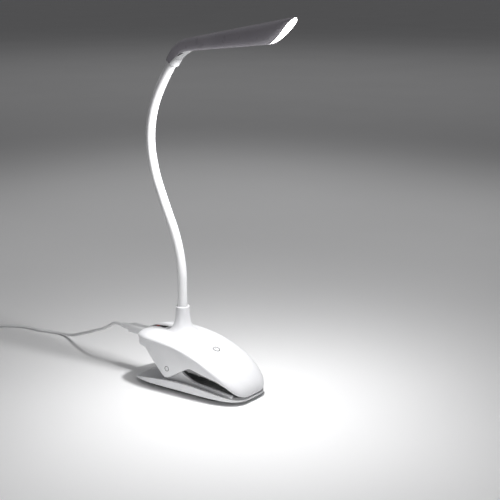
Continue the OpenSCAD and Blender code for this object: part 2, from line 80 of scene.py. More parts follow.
SHELL_X = (SHELL_LOW.x + SHELL_HIGH.x) / 2
SHELL_A = (SHELL_HIGH.x - SHELL_LOW.x) / 2
SHELL_B = (SHELL_HIGH.y - SHELL_LOW.y) / 2
JAW_X = (JAW_LOW.x + JAW_HIGH.x) / 2
JAW_A = (JAW_HIGH.x - JAW_LOW.x) / 2
JAW_B = (JAW_HIGH.y - JAW_LOW.y) / 2
PIN_X = (PIN_LOW.x + PIN_HIGH.x) / 2
PIN_Z = (PIN_LOW.z + PIN_HIGH.z) / 2
PIN_R = (PIN_HIGH.z - PIN_LOW.z) / 2
PORT_Z = (PLUG_LOW.z + PLUG_HIGH.z) / 2
COLLAR_Z = SHELL_HIGH.z
SLEEVE_LOW, SLEEVE_HIGH = span_of("base_sleeve")
NECK_R = (SLEEVE_HIGH.x - SLEEVE_LOW.x) / 2
PIVOTS = [Vector(j["pos_m"]) / MM for j in frame["joints"] if j["name"].startswith("neck_")]


# ---------------------------------------------------------------- shape formulas shared with the part

# Exponents of the plan outlines of the shell and the jaw, which are superellipses
SHELL_N = 3.9
JAW_N = 3.7

# Neck socket: radius of its collar, and the height, fall and reach of the flare under it
COLLAR_R = 6.5
FLARE_Z = 49.5
FLARE_FALL = 6
FLARE_REACH = 9.5
FLARE_TAIL = math.exp(-3.75)

# Exponents of the shell's crown across, and of the jaw's tray across and along
CROWN_N = 2.6
TRAY_N = 5
TRAY_END_N = 14


def clamp(v, low, high):
    return max(low, min(high, v))


def sup(t, n):
    """Signed power that turns a sine or cosine into a superellipse of exponent n."""
    return math.copysign(abs(t) ** (2 / n), t)


def wide(s, b, n):
    """Half width of a superellipse outline at the share s of its half length."""
    return b * max(1 - abs(s) ** n, 0) ** (1 / n)


def plan_outline(middle, a, b, n, count, inset):
    """Superellipse outline of half sizes a and b, from the front round by +Y, moved in by inset."""
    out = []
    for k in range(2 * count):
        s = math.cos(math.pi * k / count)
        side = 1 if k < count else -1
        out.append(Vector((middle + (a - inset) * s, side * wide(s, b, n) * (1 - inset / b), 0)))
    return out


def arch(u, n):
    """Height of a superellipse arch of exponent n at the share u of its half width."""
    return max(1 - min(abs(u), 1) ** n, 0) ** (1 / n)


def seam_z(s):
    """Height of the line where the shell meets the cheeks, at the share s of the shell's half length."""
    return 41.3 - 14.5 * s - 16 * s * s - 4.3 * s ** 3


def crown(s):
    """Height of the shell's middle over the seam."""
    return (5.2 + 0.6 * s * s + 3.2 * max(s, 0) ** 3) * max(1 - abs(s) ** 10, 0) ** 0.35


def shell_share(x, inset=0):
    """Place along the shell, from -1 at its rear to 1 at its front."""
    return clamp((x - SHELL_X) / (SHELL_A - inset), -1, 1)


def jaw_share(x, inset=0):
    return clamp((x - JAW_X) / (JAW_A - inset), -1, 1)


def shell_z(x, y):
    """Height of the upper shell's outside, without the neck socket."""
    s = shell_share(x)
    half = wide(s, SHELL_B, SHELL_N)
    u = abs(y) / half if half > 1e-6 else 1
    return seam_z(s) + crown(s) * arch(u, CROWN_N)


def flare_z(r):
    """Height of the neck socket's flare at radius r."""
    return FLARE_Z - FLARE_FALL * math.log((r - COLLAR_R) / FLARE_REACH + FLARE_TAIL)


def flare_r(z):
    """Radius of the flare at height z."""
    return COLLAR_R + FLARE_REACH * (math.exp((FLARE_Z - z) / FLARE_FALL) - FLARE_TAIL)


def rim_z(s):
    """Height of the jaw's rim at the share s of its half length."""
    return 12.1 + 0.7 * s - 8.1 * s * s


def keel_z(s):
    """Height of the jaw's underside along its middle."""
    return 1.4 + 1.2 * s * s


def soft_max(a, b, k):
    """The larger of two heights, with a fillet of size k where they meet."""
    h = max(k - abs(a - b), 0) / k
    return max(a, b) + h * h * k / 4


def lerp(a, b, t):
    return a + (b - a) * t


def smooth(t):
    """Share t of a way that starts and ends gently."""
    return t * t * (3 - 2 * t)


def lookup(x, rows):
    """Height at x on a line given by its corners."""
    if x <= rows[0][0]:
        return rows[0][1]
    for (x0, z0), (x1, z1) in zip(rows, rows[1:]):
        if x <= x1:
            return lerp(z0, z1, (x - x0) / (x1 - x0))
    return rows[-1][1]


def catmull(points, steps):
    """Smooth curve through points, with steps intervals between neighbours."""
    out = []
    last = len(points) - 1
    for i in range(last):
        a, b, c, d = (points[max(i - 1, 0)], points[i], points[i + 1], points[min(i + 2, last)])
        for k in range(steps):
            t = k / steps
            out.append(0.5 * (2 * b + t * (c - a) + t * t * (2 * a - 5 * b + 4 * c - d)
                              + t ** 3 * (3 * b - a - 3 * c + d)))
    out.append(points[-1].copy())
    return out


def fillet(a, b, c, r):
    """Arc of radius r at corner b of the path a, b, c."""
    u = (a - b).normalized()
    v = (c - b).normalized()
    half = math.acos(clamp(u.dot(v), -1, 1)) / 2
    steps = 8
    middle = b + (u + v).normalized() * r / math.sin(half)
    p = b + u * r / math.tan(half) - middle
    q = b + v * r / math.tan(half) - middle
    return [middle + p.lerp(q, k / steps).normalized() * r for k in range(steps + 1)]


def rounded(corners):
    """Side outline through corners given as x, z and radius; the two ends have no radius."""
    points = [Vector((x, z)) for x, z, _ in corners]
    out = []
    for i, (_, _, r) in enumerate(corners):
        out += fillet(points[i - 1], points[i], points[i + 1], r) if r else [points[i]]
    return [(p.x, p.y) for p in out]


# ---------------------------------------------------------------- meshes

def loft(rings, looped=False):
    """Points and faces through rings of equal length. looped joins the last ring to the first."""
    k = len(rings[0])
    count = len(rings)
    points = [p for ring in rings for p in ring]
    faces = []
    for i in range(count if looped else count - 1):
        n = (i + 1) % count
        for j in range(k):
            m = (j + 1) % k
            faces.append((i * k + j, i * k + m, n * k + m, n * k + j))
    if not looped:
        faces.append(tuple(range(k - 1, -1, -1)))
        faces.append(tuple((count - 1) * k + j for j in range(k)))
    return points, faces


def ring_around(centre, axis_u, axis_v, r, k):
    """Circle of k points round a centre, in the plane of two axes."""
    ring = []
    for j in range(k):
        a = 2 * math.pi * j / k
        ring.append(centre + axis_u * (r * math.cos(a)) + axis_v * (r * math.sin(a)))
    return ring


def tube(path, r, k):
    """Round tube along a path with a frame that doesn't twist."""
    rings = []
    normal = None
    last = len(path) - 1
    for i, p in enumerate(path):
        t = (path[min(i + 1, last)] - path[max(i - 1, 0)]).normalized()
        if normal is None:
            normal = t.orthogonal().normalized()
        normal = (normal - t * normal.dot(t)).normalized()
        rings.append(ring_around(p, normal, t.cross(normal), r, k))
    return loft(rings)


def lathe(profile, k, place, looped=False):
    """Solid of revolution through the (radius, height) pairs of profile.

    place maps a local point into the frame. looped joins the last pair to the first, for an open middle.
    """
    smallest = 0.01
    rings = []
    for r, h in profile:
        ring = ring_around(Vector((0, 0, h)), Vector((1, 0, 0)), Vector((0, 1, 0)), max(r, smallest), k)
        rings.append([place(p) for p in ring])
    return loft(rings, looped=looped)


def about_pin(p):
    """Turns a local point whose Z runs along the hinge pin into the frame."""
    return Vector((PIN_X + p.x, p.z, PIN_Z + p.y))


def extrude_side(outline, y0, y1):
    """Plate with a side-view outline in X and Z, from y0 to y1."""
    rings = [[Vector((x, y, z)) for x, z in outline] for y in (y0, y1)]
    return loft(rings)


class Model:
    """Makes each piece, gives it its material and puts it on its body."""

    def add(self, name, shape, material, body, slot, replaces=(), bevel=0, sharp=35, ride=True):
        points, faces = shape
        mesh = bpy.data.meshes.new(name)
        mesh.from_pydata([Vector(p) * MM for p in points], [], faces)
        work = bmesh.new()
        work.from_mesh(mesh)
        bmesh.ops.remove_doubles(work, verts=work.verts, dist=1e-6)
        bmesh.ops.recalc_face_normals(work, faces=work.faces)
        work.to_mesh(mesh)
        work.free()
        return self.place(name, mesh, material, body, slot, replaces, bevel, sharp, ride)

    def place(self, name, mesh, material, body, slot, replaces, bevel, sharp, ride):
        obj = bpy.data.objects.new(name, mesh)
        bpy.context.scene.collection.objects.link(obj)
        mesh.shade_smooth()
        if bevel:
            edge = obj.modifiers.new("edges", "BEVEL")
            edge.width = bevel * MM
            edge.segments = 3
            edge.limit_method = "ANGLE"
            edge.angle_limit = math.radians(30)
            edge.harden_normals = True
        else:
            mesh.set_sharp_from_angle(angle=math.radians(sharp))
        obj.data.materials.append(material)
        if ride:
            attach(obj, body)
        if replaces:
            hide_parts(*replaces)
        return obj

    def refine(self, name, node, material, bevel=0.2):
        """A copy of a CAD node with joined flat faces and rounded edges, which stands for the node."""
        work = bmesh.new()
        work.from_mesh(frame["nodes"][node].data)
        bmesh.ops.remove_doubles(work, verts=work.verts, dist=2e-6)
        bmesh.ops.dissolve_limit(work, angle_limit=math.radians(1), verts=work.verts, edges=work.edges)
        bmesh.ops.recalc_face_normals(work, faces=work.faces)
        mesh = bpy.data.meshes.new(name)
        work.to_mesh(mesh)
        work.free()
        body = BODY_OF[node]
        return self.place(name, mesh, material, body, SLOT_OF[node], (node,), bevel, 35, True)


BODY_OF = {n: b for b, nodes in frame["record"]["behaviour"]["bodies"].items() for n in nodes}
SLOT_OF = {p["node"]: p["material_slot"] for p in frame["record"]["subparts"]}
model = Model()


# ---------------------------------------------------------------- materials

class Finish:
    """A procedural material round one Principled shader, in the frame's own coordinates."""

    def __init__(self, name):
        self.material = bpy.data.materials.new(name)
        self.material.use_nodes = True
        self.tree = self.material.node_tree
        self.shader = self.tree.nodes["Principled BSDF"]
        self.coords = self.tree.nodes.new("ShaderNodeTexCoord").outputs["Object"]

    def node(self, kind, **values):
        made = self.tree.nodes.new(kind)
        for key, value in values.items():
            setattr(made, key, value)
        return made

    def link(self, a, b):
        self.tree.links.new(a, b)

    def set(self, **values):
        for key, value in values.items():
            self.shader.inputs[key.replace("_", " ")].default_value = value
        return self

    def noise(self, scale, detail=3, rough=0.5, stretch=None):
        made = self.node("ShaderNodeTexNoise")
        made.inputs["Scale"].default_value = scale
        made.inputs["Detail"].default_value = detail
        made.inputs["Roughness"].default_value = rough
        source = self.coords
        if stretch:
            turn = self.node("ShaderNodeMapping")
            turn.inputs["Scale"].default_value = stretch
            self.link(source, turn.inputs["Vector"])
            source = turn.outputs["Vector"]
        self.link(source, made.inputs["Vector"])
        return made.outputs["Fac"]

    def ramp(self, fac, stops):
        made = self.node("ShaderNodeValToRGB")
        first = made.color_ramp.elements
        while len(first) < len(stops):
            first.new(0.5)
        for element, (at, color) in zip(first, stops):
            element.position = at
            element.color = (*color, 1)
        self.link(fac, made.inputs["Fac"])
        return made.outputs["Color"]

    def spread(self, fac, low, high):
        """Maps the middle of a noise to the range low to high."""
        made = self.node("ShaderNodeMapRange")
        made.inputs["From Min"].default_value = 0.3
        made.inputs["From Max"].default_value = 0.7
        made.inputs["To Min"].default_value = low
        made.inputs["To Max"].default_value = high
        self.link(fac, made.inputs["Value"])
        return made.outputs["Result"]

    def tint(self, fac, low, high):
        self.link(self.ramp(fac, [(0.35, low), (0.65, high)]), self.shader.inputs["Base Color"])
        return self

    def rough(self, fac, low, high):
        self.link(self.spread(fac, low, high), self.shader.inputs["Roughness"])
        return self

    def bump(self, fac, depth, strength=1.0):
        made = self.node("ShaderNodeBump")
        made.inputs["Distance"].default_value = depth * MM
        made.inputs["Strength"].default_value = strength
        self.link(fac, made.inputs["Height"])
        before = self.shader.inputs["Normal"]
        if before.is_linked:
            self.link(before.links[0].from_socket, made.inputs["Normal"])
        self.link(made.outputs["Normal"], before)
        return self


def moulded(name, low, high, rough_low, rough_high, grain, grain_depth, coat=0.0):
    """Injection-moulded plastic: faint cloudiness, slightly uneven gloss and a fine surface texture."""
    f = Finish(name)
    f.tint(f.noise(38, 4), low, high)
    f.rough(f.noise(160, 5, 0.6), rough_low, rough_high)
    f.bump(f.noise(grain, 2), grain_depth, 0.6)
    f.bump(f.noise(90, 2), 0.02, 0.35)
    return f.set(IOR=1.49, Coat_Weight=coat, Coat_Roughness=0.12).material


def metal(name, low, high, rough_low, rough_high, stretch):
    f = Finish(name)
    f.tint(f.noise(120, 4), low, high)
    f.rough(f.noise(900, 4, 0.6, stretch), rough_low, rough_high)
    f.bump(f.noise(1400, 3, 0.5, stretch), 0.01, 0.4)
    return f.set(Metallic=1.0).material


def rubber(name, low, high, rough_low, rough_high):
    f = Finish(name)
    f.tint(f.noise(150, 5, 0.65), low, high)
    f.rough(f.noise(400, 4), rough_low, rough_high)
    f.bump(f.noise(2600, 2), 0.03, 0.5)
    return f.set(IOR=1.5).material


def glow(name, color, strength, low, high):
    """Milky plastic lit from behind, a little uneven along its length."""
    f = Finish(name)
    f.tint(f.noise(60, 2), low, high)
    f.rough(f.noise(300, 3), 0.35, 0.5)
    f.set(Emission_Color=(*color, 1))
    f.link(f.spread(f.noise(45, 1), strength * 0.85, strength * 1.15), f.shader.inputs["Emission Strength"])
    return f.material


def lens_painted_shadow_finish():
    """Smoky window with the charge light glowing red under its middle; its near-black tint is painted shadow,
    standing in for the neck's shadow on the shell's rear.
    """
    f = Finish("smoky_window")
    f.tint(f.noise(200, 3), (0.03, 0.03, 0.033), (0.05, 0.05, 0.053))
    f.rough(f.noise(500, 3), 0.12, 0.2)
    low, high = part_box("charge_led")
    middle = (low + high) / 2
    offset = f.node("ShaderNodeVectorMath", operation="DISTANCE")
    offset.inputs[1].default_value = (middle.x, middle.y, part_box("indicator_window")[1].z - 0.0012)
    f.link(f.coords, offset.inputs[0])
    spot = f.node("ShaderNodeMapRange", interpolation_type="SMOOTHSTEP")
    spot.inputs["From Min"].default_value = 0.003
    spot.inputs["From Max"].default_value = 0.0004
    spot.inputs["To Min"].default_value = 0.0
    spot.inputs["To Max"].default_value = 0.35
    f.link(offset.outputs["Value"], spot.inputs["Value"])
    f.link(spot.outputs["Result"], f.shader.inputs["Emission Strength"])
    return f.set(Emission_Color=(1.0, 0.03, 0.015, 1), Coat_Weight=0.5).material


WHITE_GLOSS = moulded("white_gloss", (0.76, 0.762, 0.78), (0.8, 0.802, 0.82), 0.36, 0.44, 1500, 0.01, 0.1)
# The head is white plastic like the shell; its darker grey-purple colour is painted shade
HEAD_PAINTED_SHADE = moulded("head_painted_shade", (0.37, 0.35, 0.39), (0.41, 0.39, 0.43), 0.25, 0.35, 1500, 0.01, 0.15)
WHITE_SATIN = moulded("white_satin", (0.78, 0.785, 0.8), (0.83, 0.832, 0.845), 0.42, 0.55, 2400, 0.03)
SILICONE = moulded("silicone", (0.82, 0.822, 0.835), (0.86, 0.862, 0.87), 0.4, 0.52, 3000, 0.02)
PLUG_PLASTIC = moulded("plug_plastic", (0.76, 0.765, 0.775), (0.82, 0.822, 0.83), 0.4, 0.55, 2600, 0.03)
CORD_JACKET = moulded("cord_jacket", (0.7, 0.702, 0.71), (0.76, 0.762, 0.77), 0.4, 0.5, 2400, 0.02)
DARK_RUBBER = rubber("dark_rubber", (0.3, 0.3, 0.305), (0.36, 0.36, 0.365), 0.4, 0.6)
FOOT_RUBBER = rubber("foot_rubber", (0.03, 0.03, 0.032), (0.05, 0.05, 0.053), 0.6, 0.8)
# Near-black painted shade for gaps and recesses: the groove round the lens, the pin's recesses and the elbow's
# seam
GAP_PAINTED_SHADE = rubber("gap_painted_shade", (0.03, 0.03, 0.032), (0.045, 0.045, 0.048), 0.6, 0.75)
SYMBOL = moulded("grey_print", (0.05, 0.05, 0.055), (0.08, 0.08, 0.085), 0.35, 0.5, 1800, 0.01)
# Lens whose near-black tint is painted shadow of the neck, round the real red charge light
LENS_PAINTED_SHADOW = lens_painted_shadow_finish()
STEEL = metal("pin_steel", (0.55, 0.55, 0.57), (0.68, 0.68, 0.7), 0.18, 0.34, (1, 12, 1))
SCREW_STEEL = metal("screw_steel", (0.3, 0.3, 0.31), (0.42, 0.42, 0.43), 0.3, 0.45, (1, 1, 10))
SPRING_STEEL = metal("spring_steel", (0.4, 0.4, 0.42), (0.55, 0.55, 0.57), 0.25, 0.4, (8, 1, 8))
CORE_STEEL = metal("core_steel", (0.45, 0.45, 0.47), (0.58, 0.58, 0.6), 0.3, 0.45, (6, 6, 1))
BRASS = metal("brass_plate", (0.6, 0.44, 0.2), (0.75, 0.58, 0.3), 0.25, 0.4, (10, 1, 1))
ALUMINIUM = metal("heat_aluminium", (0.7, 0.7, 0.71), (0.82, 0.82, 0.83), 0.3, 0.45, (1, 10, 1))
BOARD = moulded("board", (0.02, 0.12, 0.05), (0.04, 0.2, 0.08), 0.3, 0.45, 1800, 0.02)
WHITE_BOARD = moulded("white_board", (0.72, 0.72, 0.7), (0.8, 0.8, 0.78), 0.3, 0.42, 1800, 0.02)
CELL_WRAP = moulded("cell_wrap", (0.12, 0.25, 0.45), (0.18, 0.33, 0.55), 0.25, 0.38, 900, 0.03)
RED_LED = glow("red_led", (1.0, 0.04, 0.02), 4.0, (0.5, 0.02, 0.01), (0.7, 0.04, 0.02))
LED_CHIP = glow("led_chip", (1.0, 0.96, 0.86), 2.0, (0.9, 0.8, 0.4), (0.95, 0.88, 0.55))
DIFFUSER = glow("diffuser", (1.0, 0.985, 0.96), 6.0, (0.9, 0.9, 0.88), (0.95, 0.95, 0.93))


# ---------------------------------------------------------------- camera and light

def build_camera():
    """Looks at the lamp from the front right, a little from above, through a long lens."""
    data = bpy.data.cameras.new("camera")
    data.sensor_width = 36
    data.lens = 82.86
    camera = bpy.data.objects.new("camera", data)
    bpy.context.scene.collection.objects.link(camera)
    camera.location = (0.66354, -0.79468, 0.38367)
    camera.rotation_euler = (math.radians(76.15), 0, math.radians(36.37))
    bpy.context.scene.camera = camera


def area_light(name, at, target, size_x, size_y, power, spread=180):
    data = bpy.data.lights.new(name, "AREA")
    data.shape = "RECTANGLE"
    data.size = size_x
    data.size_y = size_y
    data.energy = power
    data.spread = math.radians(spread)
    light = bpy.data.objects.new(name, data)
    bpy.context.scene.collection.objects.link(light)
    light.location = at
    light.rotation_euler = (Vector(target) - Vector(at)).to_track_quat("-Z", "Y").to_euler()
    light.visible_camera = False


def build_sky():
    """Dim, even light of the room."""
    bpy.context.scene.view_settings.view_transform = "Standard"
    world = bpy.data.worlds.new("studio")
    world.use_nodes = True
    sky = world.node_tree.nodes["Background"]
    sky.inputs["Color"].default_value = (0.98, 0.98, 1.0, 1)
    sky.inputs["Strength"].default_value = 0.1
    bpy.context.scene.world = world


def build_floor():
    """Pale floor that runs to the horizon."""
    finish = Finish("pale_floor")
    finish.tint(finish.noise(3, 2), (0.8, 0.8, 0.805), (0.82, 0.82, 0.825))
    finish.rough(finish.noise(5, 2), 0.75, 0.85)
    finish.set(Specular_IOR_Level=0.15)
    size = 30.0
    mesh = bpy.data.meshes.new("floor")
    corners = [(-size, -size, 0), (size, -size, 0), (size, size, 0), (-size, size, 0)]
    mesh.from_pydata(corners, [], [(0, 1, 2, 3)])
    mesh.materials.append(finish.material)
    floor = bpy.data.objects.new("floor", mesh)
    bpy.context.scene.collection.objects.link(floor)


def build_lights():
    """The lamp's own glow, soft light on the floor before and behind it, and a card for the clip's side."""
    low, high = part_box("diffuser")
    head = (low + high) / 2
    area_light("lamp_glow", (head.x, 0, low.z - 0.004), (head.x + 0.02, -0.01, 0), 0.03, 0.015, 0.95)
    area_light("front_glow", (0.42, -0.42, 0.29), (0.42, -0.42, 0), 0.9, 0.9, 0.5, spread=70)
    area_light("low_card", (0.25, -0.85, 0.12), (0.02, 0, 0.02), 0.6, 0.2, 0.12, spread=50)
    area_light("rear_floor", (-0.3, 0.5, 1.0), (-0.3, 0.5, 0), 1.3, 1.3, 1.4, spread=60)
    area_light("far_floor", (-1.6, 2.3, 2.4), (-1.6, 2.3, 0), 3.0, 3.0, 4.0, spread=100)


# ---------------------------------------------------------------- charging cord

# Route from the strain relief to the coil, in metres, as in the part
CORD_ROUTE = [
    (-0.0783, 0, 0.042), (-0.084, 0, 0.0424), (-0.09, 0.0003, 0.041), (-0.0985, 0.0012, 0.0358),
    (-0.108, 0.003, 0.0312), (-0.12, 0.006, 0.0266), (-0.135, 0.011, 0.0205), (-0.15, 0.0155, 0.0148),
    (-0.164, 0.021, 0.0094), (-0.178, 0.027, 0.005), (-0.19, 0.031, 0.0026), (-0.201, 0.032, 0.0017),
    (-0.213, 0.03, 0.0016), (-0.226, 0.027, 0.0016), (-0.238, 0.0265, 0.0016), (-0.25, 0.024, 0.0016),
    (-0.262, 0.018, 0.0016), (-0.274, 0.01, 0.0016), (-0.2825, 0.0041, 0.0016), (-0.291, -0.0018, 0.0016)]
CORD_D = 3.0
COIL_R = 17.0


def coil_centre():
    return Vector(((COIL_LOW.x + COIL_HIGH.x) / 2, (COIL_LOW.y + COIL_HIGH.y) / 2, 0))


def coil_path(centre, start_angle):
    """Five turns, three on the surface from the outside in and two in the grooves above them."""
    low = CORD_D / 2 + 0.1
    high = low + CORD_D * math.sqrt(3) / 2
    levels = [(COIL_R + CORD_D, low), (COIL_R, low), (COIL_R - CORD_D, low), (COIL_R - CORD_D / 2, high),
              (COIL_R + CORD_D / 2, high)]
    per_turn = 40
    shift = 0.16  # the last share of a turn, where it moves over to the next one
    turns = len(levels)
    out = []
    last_angle = math.pi * 3 - start_angle
    total = int(per_turn * (turns - 1) + per_turn * (last_angle / (2 * math.pi)))
    for k in range(1, total + 1):
        turn = k / per_turn
        i = min(int(turn), turns - 1)
        share = turn - i
        r, z = levels[i]
        if share > 1 - shift and i < turns - 1:
            t = smooth((share - 1 + shift) / shift)
            r = lerp(r, levels[i + 1][0], t)
            z = lerp(z, levels[i + 1][1], t)
        a = start_angle + 2 * math.pi * turn
        out.append(Vector((centre.x + r * math.cos(a), centre.y + r * math.sin(a), z)))
    return out


def cord_path():
    """The cord's three stretches in millimetres: lead to the coil, its turns, and tail to the far plug."""
    centre = coil_centre()
    route = [Vector(p) / MM for p in CORD_ROUTE]
    heading = route[-1] - route[-2]
    heading.z = 0
    heading.normalize()
    start = Vector((heading.y, -heading.x, 0))
    angle = math.atan2(start.y, start.x)
    meet = centre + start * (COIL_R + CORD_D) + Vector((0, 0, route[-1].z))
    turns = coil_path(centre, angle)
    plug = Vector(((FAR_LOW.x + FAR_HIGH.x) / 2, FAR_HIGH.y, (FAR_LOW.z + FAR_HIGH.z) / 2))
    hump = 0.5
    tail = [lerp(turns[-1], plug, t) + Vector((0, 0, hump * math.sin(math.pi * t))) for t in (0.35, 0.7)]
    tail.append(plug + Vector((0, -2, 0)))
    lead = catmull(route + [lerp(route[-1], meet, 0.55), meet], 4)
    return lead, turns, catmull([turns[-1], *tail], 5)[1:]


def build_far_plug():
    body = model.refine("far_plug_body", "far_plug_mould", PLUG_PLASTIC, 0.6)
    return body, model.refine("far_plug_shell", "far_plug_metal", STEEL, 0.15)


def build_cord(far_plug, far_plug_metal):
    """The charging cord, which lies on the table and hangs from the clip; it is drawn fixed and doesn't bend when
    the clip tilts.
    """
    lead, turns, tail = cord_path()
    path = lead + turns + tail
    jacket = tube(path, CORD_D / 2, 14)
    obj = model.add("charging_cord", jacket, CORD_JACKET, None, "cord_jacket", ride=False)
    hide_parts("usb_cord", "cord_coil")
    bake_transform(obj)
    tie = build_tie()
    length = sum((b - a).length for a, b in zip(path, path[1:])) * MM


def build_tie():
    """Twist tie round the bundle of turns."""
    out = Vector((1, 0, 0))
    up = Vector((0, 0, 1))
    side = Vector((0, 1.6, 0))
    thick = 0.3
    half_width = (COIL_HIGH.x - COIL_LOW.x) / 2 - COIL_R - 0.35
    half_height = COIL_HIGH.z / 2 - 0.4
    middle = coil_centre() + out * COIL_R + up * (COIL_HIGH.z / 2)
    count = 36
    rings = []
    for k in range(count):
        a = 2 * math.pi * k / count
        c = middle + out * (half_width * sup(math.cos(a), 3)) + up * (half_height * sup(math.sin(a), 3))
        n = (out * math.cos(a) + up * math.sin(a)) * thick
        rings.append([c + n + side, c + n - side, c - n - side, c - n + side])
    return model.add("cord_tie", loft(rings, looped=True), DARK_RUBBER, "lower_jaw", "dark_rubber")


# ---------------------------------------------------------------- upper shell

# The flare runs from SOCKET_TOP down to SOCKET_FOOT and then blends into the crown out to SOCKET_R
SOCKET_TOP = 72
SOCKET_FOOT = 52.5
SOCKET_R = 24.0
SHELL_WALL = 2.0
SEAM_LIFT = 0.35


def shell_outline(count, inset):
    return plan_outline(SHELL_X, SHELL_A, SHELL_B, SHELL_N, count, inset)


def skin_rings(outline, hole, steps, height):
    """Rings from a circle of radius hole round the neck out to the outline, denser towards the edge."""
    rings = []
    for k in range(steps + 1):
        g = sup(math.sin(math.pi / 2 * k / steps), CROWN_N)
        ring = []
        for p in outline:
            d = Vector((p.x, p.y, 0))
            start = d.normalized() * hole
            q = start + (d - start) * g
            ring.append(Vector((q.x, q.y, height(q.x, q.y))))
        rings.append(ring)
    return rings


def circle_like(outline, r, z):
    """Ring of radius r round the neck at the outline's bearings; z is a height, or a rule of x and y."""
    ring = []
    for p in outline:
        d = Vector((p.x, p.y, 0)).normalized() * r
        ring.append(Vector((d.x, d.y, z(d.x, d.y) if callable(z) else z)))
    return ring


def shell_outside(x, y):
    return max(shell_z(x, y), seam_z(shell_share(x)) + SEAM_LIFT)


def socket_z(x, y):
    return soft_max(shell_z(x, y), flare_z(math.hypot(x, y)), 2.4)


def collar_rings(outline):
    """The neck's bore, the rounded collar, the flare, and its blend into the crown."""
    bore = NECK_R + 0.7
    profile = [(bore, COLLAR_Z - 5), (bore, COLLAR_Z - 0.3), (bore + 0.3, COLLAR_Z),
               (COLLAR_R - 0.5, COLLAR_Z), (COLLAR_R - 0.15, COLLAR_Z - 0.12), (COLLAR_R, COLLAR_Z - 0.5),
               (COLLAR_R, COLLAR_Z - 2)]
    for k in range(19):
        z = lerp(SOCKET_TOP, SOCKET_FOOT, k / 18)
        profile.append((flare_r(z), z))
    for k in range(1, 21):
        profile.append((lerp(flare_r(SOCKET_FOOT), SOCKET_R, k / 20), socket_z))
    return [circle_like(outline, r, z) for r, z in profile]


def edge_rings(count):
    """The shell's rounded lower edge and its inner corner."""
    rings = []
    for inset, lift in [(0.12, 0.1), (0.42, 0.0), (SHELL_WALL, 0.0), (SHELL_WALL, 2.4)]:
        rings.append([Vector((p.x, p.y, seam_z(shell_share(p.x, inset)) + lift))
                      for p in shell_outline(count, inset)])
    return rings


def inside_rings(count):
    """The shell's inside, from its edge back to the neck's bore."""
    inner = shell_outline(count, SHELL_WALL)
    last = 10
    rings = []
    for k in range(last, -1, -1):
        g = sup(math.sin(math.pi / 2 * k / (last + 1)), CROWN_N)
        step = 0.4 if k == last else 0
        ring = []
        for p in inner:
            d = Vector((p.x, p.y, 0))
            q = d.normalized() * (NECK_R + 0.1) * (1 - g) + d * g
            ring.append(Vector((q.x, q.y, shell_outside(q.x, q.y) - SHELL_WALL - step)))
        rings.append(ring)
    return rings


def build_shell():
    count = 96
    steps = 44
    outline = shell_outline(count, 0)
    rings = collar_rings(outline) + skin_rings(outline, SOCKET_R, steps, shell_outside)[1:]
    rings += edge_rings(count) + inside_rings(count)
    rings.append(circle_like(outline, NECK_R + 0.1, COLLAR_Z - 5))
    model.add("shell_skin", loft(rings, looped=True), WHITE_GLOSS, "upper_jaw", "white_gloss",
              ("upper_shell",), sharp=50)


def patch_rings(centre, half_x, half_y, corner, lift, drop):
    """Low pad with a rounded rectangular outline that follows the shell."""
    outline = []
    for cx, cy, turn in [(1, 1, 0), (-1, 1, 90), (-1, -1, 180), (1, -1, 270)]:
        for k in range(7):
            a = math.radians(turn + 15 * k)
            outline.append((cx * (half_x - corner) + corner * math.cos(a),
                            cy * (half_y - corner) + corner * math.sin(a)))
    rings = []
    for share, z in [(1.0, -drop), (1.0, lift - 0.12), (0.985, lift - 0.03), (0.95, lift), (0.6, lift),
                     (0.3, lift), (0.02, lift)]:
        ring = []
        for u, v in outline:
            x = centre.x + u * share
            y = centre.y + v * (share if share < 0.9 else 1 - (1 - share) * half_x / half_y)
            ring.append(Vector((x, y, shell_z(x, y) + z)))
        rings.append(ring)
    return rings


def build_window():
    low, high = span_of("indicator_window")
    centre = Vector(((low.x + high.x) / 2, 0, 0))
    half_x = (high.x - low.x) / 2
    half_y = (high.y - low.y) / 2
    # Near-black frame in the groove round the lens: painted shade in the groove
    frame_rings = patch_rings(centre, half_x + 0.2, half_y + 0.2, 1.5, 0.1, 0.6)
    model.add("window_groove", loft(frame_rings), GAP_PAINTED_SHADE, "upper_jaw", "smoky_window")
    # Lens: its near-black tint is painted shadow of the neck, and the red glow is the charge light
    rings = patch_rings(centre, half_x - 0.1, half_y - 0.1, 1.3, 0.2, 0.5)
    model.add("indicator_lens", loft(rings), LENS_PAINTED_SHADOW, "upper_jaw", "smoky_window", ("indicator_window",))


def ribbon(inner, outer, lift, thick):
    """Thin raised ribbon on the shell between two lines of plan points."""
    rings = []
    for a, b in zip(inner, outer):
        za = shell_z(*a) + lift
        zb = shell_z(*b) + lift
        rings.append([Vector((*a, za - thick)), Vector((*a, za)), Vector((*b, zb)),
                      Vector((*b, zb - thick))])
    return loft(rings)


def build_symbol():
    """Power sign: a ring with a gap at its rear, and a stroke through the gap."""
    low, high = span_of("touch_plate")
    x0 = (low.x + high.x) / 2
    tilt = math.atan2(shell_z(x0 - 2, 0) - shell_z(x0 + 2, 0), 4)
    gap = math.radians(24)
    lift = 0.1
    thick = 0.4
    angles = [lerp(gap, 2 * math.pi - gap, k / 60) for k in range(61)]
    lines = [[(x0 - r * math.cos(a) * math.cos(tilt), r * math.sin(a)) for a in angles]
             for r in (2.75, 3.6)]
    model.add("touch_ring", ribbon(*lines, lift, thick), SYMBOL, "upper_jaw", "grey_print",
              ("power_symbol",))
    stroke = [[(x0 + lerp(-4.0, -0.8, k / 10) * math.cos(tilt), v) for k in range(11)] for v in (-0.3, 0.3)]
    model.add("touch_stroke", ribbon(*stroke, lift, thick), SYMBOL, "upper_jaw", "grey_print")


# ---------------------------------------------------------------- cheeks under the shell

